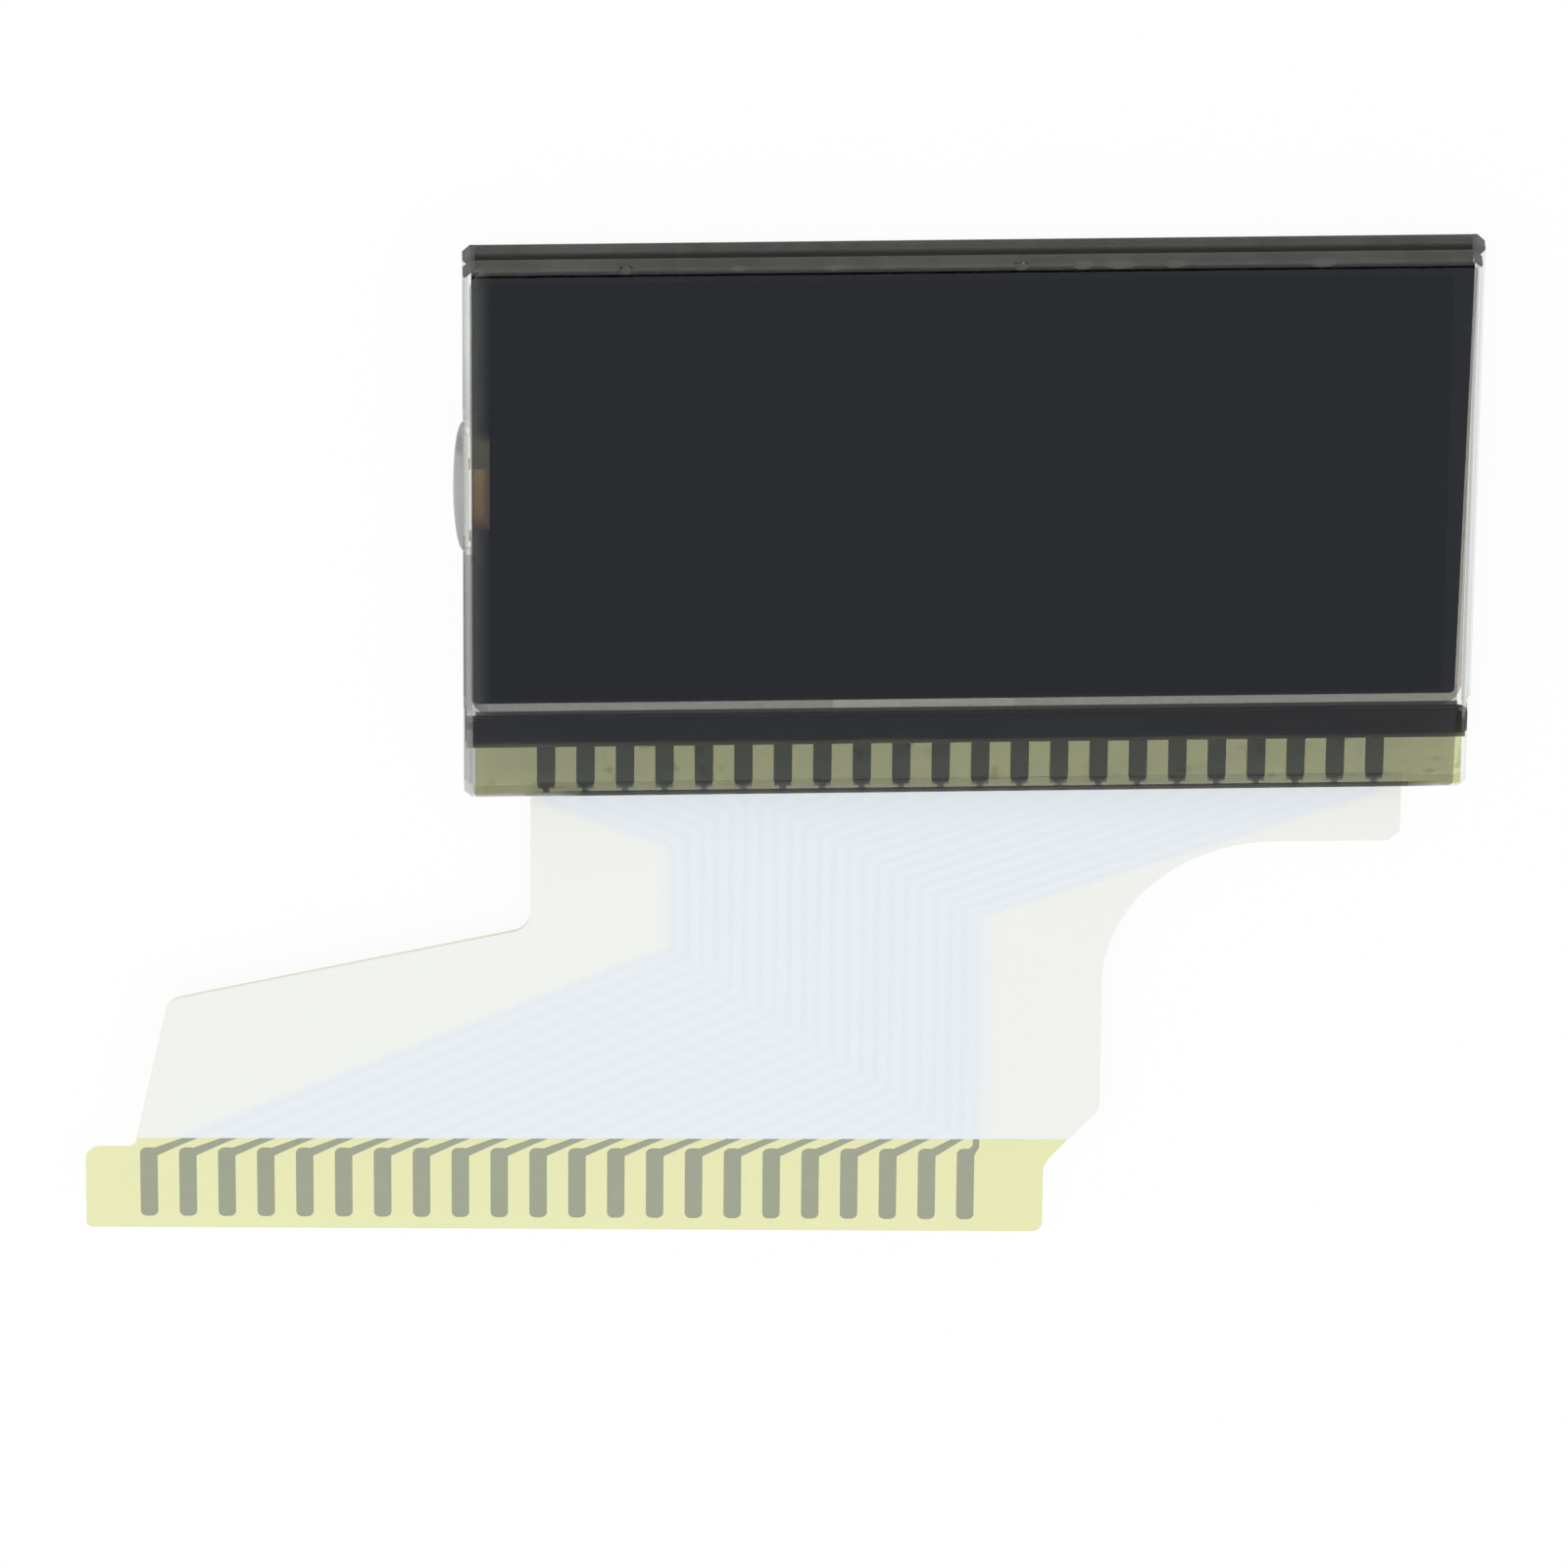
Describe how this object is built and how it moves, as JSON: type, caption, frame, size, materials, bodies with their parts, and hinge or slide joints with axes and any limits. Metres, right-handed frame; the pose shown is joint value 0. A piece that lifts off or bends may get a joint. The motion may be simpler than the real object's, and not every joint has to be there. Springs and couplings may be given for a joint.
{
  "type": "liquid crystal display panel",
  "caption": "Glass instrument display cell with polarizing films and a stepped contact ledge, bonded to a shaped flexible ribbon that ends in a bare row of contacts.",
  "frame": {"origin": "on the back face of the rear polarizing film, under the centre of the rear glass plate", "axes": "+X to the right and +Y up as the display is read, ribbon towards -Y; +Z out of the front face"},
  "size_m": [0.0634, 0.0545, 0.0026],
  "materials": {
    "glass": "clear float glass with ground grey edges",
    "seal": "printed epoxy seal, grey",
    "liquid_crystal": "clear fluid layer, dark between the crossed films",
    "plug_glue": "cured clear glue, amber where it fills the port",
    "front_polarizer": "neutral grey polarizing film, smooth",
    "rear_polarizer": "near-black polarizing film, smooth",
    "sealant": "black silicone bead, satin",
    "base_film": "yellow translucent polymer film",
    "coverlay": "milky white translucent cover film",
    "clear_adhesive": "clear cured adhesive",
    "conductor": "printed grey conductive ink, matte"
  },
  "bodies": {
    "root": {"front_glass": "glass", "rear_glass": "glass", "perimeter_seal": "seal", "liquid_crystal": "liquid_crystal", "end_seal_plug": "plug_glue", "front_polarizer": "front_polarizer", "rear_polarizer": "rear_polarizer", "step_sealant": "sealant", "ribbon_base_film": "base_film", "coverlay_adhesive": "clear_adhesive", "coverlay_film": "coverlay", "bond_adhesive": "clear_adhesive", "bond_squeeze_left": "clear_adhesive", "bond_squeeze_right": "clear_adhesive", "conductor_01": "conductor", "conductor_02": "conductor", "conductor_03": "conductor", "conductor_04": "conductor", "conductor_05": "conductor", "conductor_06": "conductor", "conductor_07": "conductor", "conductor_08": "conductor", "conductor_09": "conductor", "conductor_10": "conductor", "conductor_11": "conductor", "conductor_12": "conductor", "conductor_13": "conductor", "conductor_14": "conductor", "conductor_15": "conductor", "conductor_16": "conductor", "conductor_17": "conductor", "conductor_18": "conductor", "conductor_19": "conductor", "conductor_20": "conductor", "conductor_21": "conductor", "conductor_22": "conductor"}
  },
  "joints": []
}
